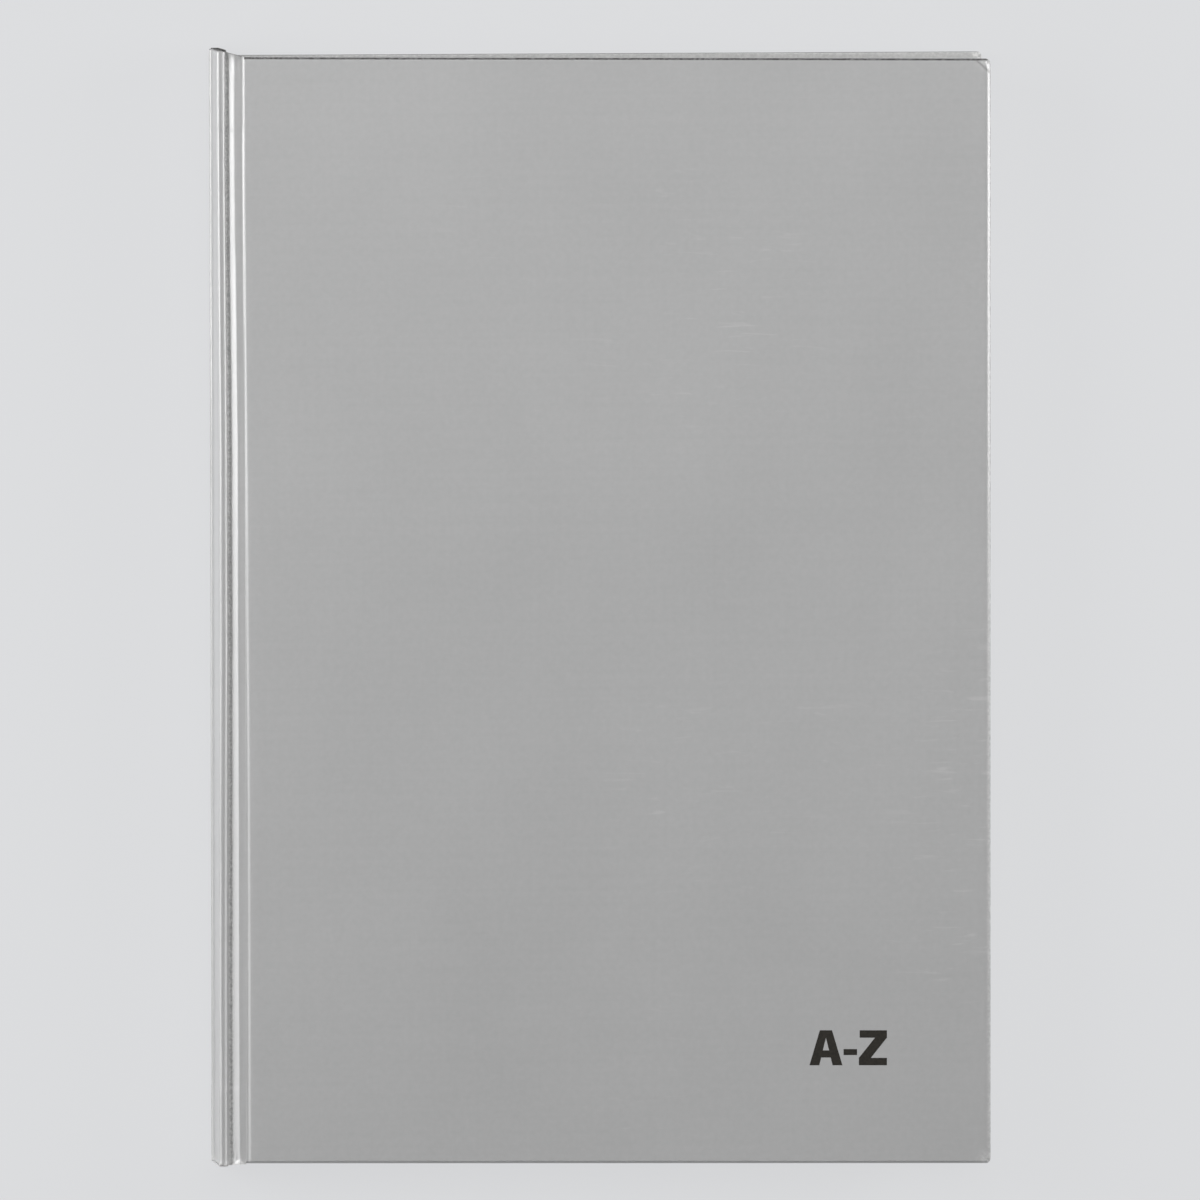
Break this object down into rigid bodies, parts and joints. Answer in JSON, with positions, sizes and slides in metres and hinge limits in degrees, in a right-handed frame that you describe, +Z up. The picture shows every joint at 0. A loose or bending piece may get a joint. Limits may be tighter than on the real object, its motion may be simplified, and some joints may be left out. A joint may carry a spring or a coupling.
{
  "type": "index book",
  "caption": "Casebound A5 writing book: hard covers, flat spine, pressed joint grooves and a stepped alphabet thumb index. The cover opens and the leaves fan.",
  "frame": {"origin": "centre of the closed book's footprint, on the surface it lies on", "axes": "+X from the spine to the fore-edge, +Y to the head of the book, +Z up through the front cover, with the back cover lying on the surface"},
  "size_m": [0.1518, 0.2176, 0.0153],
  "materials": {
    "cover_paper": "silver-grey printed paper with satin film lamination",
    "greyboard": "raw grey bookbinding board",
    "endpaper": "uncoated off-white",
    "lining_cloth": "open-weave starched lining",
    "leaf_paper": "uncoated writing paper with ruled lines"
  },
  "bodies": {
    "root": {"back_cover_wrap": "cover_paper", "back_board": "greyboard", "back_pastedown": "endpaper", "back_flyleaf": "endpaper", "spine_lining": "lining_cloth"},
    "spine": {"spine_board": "greyboard", "spine_wrap": "cover_paper", "back_joint_wrap": "cover_paper", "front_joint_wrap": "cover_paper"},
    "front_cover": {"front_board": "greyboard", "front_cover_wrap": "cover_paper", "front_pastedown": "endpaper", "front_endpaper_hinge": "endpaper"},
    "front_flyleaf": {"front_flyleaf": "endpaper"},
    "sections_U_to_XYZ": {"section_XYZ": "leaf_paper", "section_W": "leaf_paper", "section_V": "leaf_paper", "section_U": "leaf_paper"},
    "sections_Q_to_T": {"section_T": "leaf_paper", "section_S": "leaf_paper", "section_R": "leaf_paper", "section_Q": "leaf_paper"},
    "sections_N_to_P": {"section_P": "leaf_paper", "section_O": "leaf_paper", "section_N": "leaf_paper"},
    "sections_K_to_M": {"section_M": "leaf_paper", "section_L": "leaf_paper", "section_K": "leaf_paper"},
    "sections_I_to_J": {"section_J": "leaf_paper", "section_I": "leaf_paper"},
    "section_H": {"section_H": "leaf_paper"},
    "section_G": {"section_G": "leaf_paper"},
    "section_F": {"section_F": "leaf_paper"},
    "section_E": {"section_E": "leaf_paper"},
    "section_D": {"section_D": "leaf_paper"},
    "section_C": {"section_C": "leaf_paper"},
    "section_B": {"section_B": "leaf_paper"},
    "section_A": {"section_A": "leaf_paper"}
  },
  "joints": [
    {"name": "front_cover_hinge", "type": "hinge", "parent": "spine", "child": "front_cover", "pos_m": [-0.07366, -0.00045, 0.01269], "axis": [0, -1, 0], "range_deg": [0, 167.5], "deforming": ["front_joint_wrap", "front_endpaper_hinge"]},
    {"name": "spine_hinge", "type": "hinge", "parent": "root", "child": "spine", "pos_m": [-0.07496, -0.00045, 0.00098], "axis": [0, -1, 0], "range_deg": [0, 16], "deforming": ["back_joint_wrap", "spine_lining"]},
    {"name": "front_flyleaf_hinge", "type": "hinge", "parent": "front_cover", "child": "front_flyleaf", "pos_m": [-0.07366, -0.00045, 0.01269], "axis": [0, -1, 0], "range_deg": [-79.5, 0]},
    {"name": "sections_U_to_XYZ_hinge", "type": "hinge", "parent": "root", "child": "sections_U_to_XYZ", "pos_m": [-0.07366, -0.00045, 0.00289], "axis": [0, -1, 0], "range_deg": [0, 2.6]},
    {"name": "sections_Q_to_T_hinge", "type": "hinge", "parent": "sections_U_to_XYZ", "child": "sections_Q_to_T", "pos_m": [-0.07366, -0.00045, 0.00449], "axis": [0, -1, 0], "range_deg": [0, 2.6]},
    {"name": "sections_N_to_P_hinge", "type": "hinge", "parent": "sections_Q_to_T", "child": "sections_N_to_P", "pos_m": [-0.07366, -0.00045, 0.00609], "axis": [0, -1, 0], "range_deg": [0, 2.6]},
    {"name": "sections_K_to_M_hinge", "type": "hinge", "parent": "sections_N_to_P", "child": "sections_K_to_M", "pos_m": [-0.07366, -0.00045, 0.00729], "axis": [0, -1, 0], "range_deg": [0, 2.8]},
    {"name": "sections_I_to_J_hinge", "type": "hinge", "parent": "sections_K_to_M", "child": "sections_I_to_J", "pos_m": [-0.07366, -0.00045, 0.00849], "axis": [0, -1, 0], "range_deg": [0, 2.8]},
    {"name": "section_H_hinge", "type": "hinge", "parent": "sections_I_to_J", "child": "section_H", "pos_m": [-0.07366, -0.00045, 0.00929], "axis": [0, -1, 0], "range_deg": [0, 2.8]},
    {"name": "section_G_hinge", "type": "hinge", "parent": "section_H", "child": "section_G", "pos_m": [-0.07366, -0.00045, 0.00969], "axis": [0, -1, 0], "range_deg": [0, 3.2]},
    {"name": "section_F_hinge", "type": "hinge", "parent": "section_G", "child": "section_F", "pos_m": [-0.07366, -0.00045, 0.01009], "axis": [0, -1, 0], "range_deg": [0, 4.6]},
    {"name": "section_E_hinge", "type": "hinge", "parent": "section_F", "child": "section_E", "pos_m": [-0.07366, -0.00045, 0.01049], "axis": [0, -1, 0], "range_deg": [0, 6.6]},
    {"name": "section_D_hinge", "type": "hinge", "parent": "section_E", "child": "section_D", "pos_m": [-0.07366, -0.00045, 0.01089], "axis": [0, -1, 0], "range_deg": [0, 9.5]},
    {"name": "section_C_hinge", "type": "hinge", "parent": "section_D", "child": "section_C", "pos_m": [-0.07366, -0.00045, 0.01129], "axis": [0, -1, 0], "range_deg": [0, 12.2]},
    {"name": "section_B_hinge", "type": "hinge", "parent": "section_C", "child": "section_B", "pos_m": [-0.07366, -0.00045, 0.01169], "axis": [0, -1, 0], "range_deg": [0, 14.5]},
    {"name": "section_A_hinge", "type": "hinge", "parent": "section_B", "child": "section_A", "pos_m": [-0.07366, -0.00045, 0.01209], "axis": [0, -1, 0], "range_deg": [0, 16.5]}
  ],
  "couplings": [
    {"joint": "spine_hinge", "follows": "front_cover_hinge", "ratio": 0.095522},
    {"joint": "front_flyleaf_hinge", "follows": "front_cover_hinge", "ratio": -0.47463},
    {"joint": "sections_U_to_XYZ_hinge", "follows": "front_cover_hinge", "ratio": 0.015522},
    {"joint": "sections_Q_to_T_hinge", "follows": "front_cover_hinge", "ratio": 0.015522},
    {"joint": "sections_N_to_P_hinge", "follows": "front_cover_hinge", "ratio": 0.015522},
    {"joint": "sections_K_to_M_hinge", "follows": "front_cover_hinge", "ratio": 0.016716},
    {"joint": "sections_I_to_J_hinge", "follows": "front_cover_hinge", "ratio": 0.016716},
    {"joint": "section_H_hinge", "follows": "front_cover_hinge", "ratio": 0.016716},
    {"joint": "section_G_hinge", "follows": "front_cover_hinge", "ratio": 0.019104},
    {"joint": "section_F_hinge", "follows": "front_cover_hinge", "ratio": 0.027463},
    {"joint": "section_E_hinge", "follows": "front_cover_hinge", "ratio": 0.039403},
    {"joint": "section_D_hinge", "follows": "front_cover_hinge", "ratio": 0.056716},
    {"joint": "section_C_hinge", "follows": "front_cover_hinge", "ratio": 0.072836},
    {"joint": "section_B_hinge", "follows": "front_cover_hinge", "ratio": 0.086567},
    {"joint": "section_A_hinge", "follows": "front_cover_hinge", "ratio": 0.098507}
  ]
}
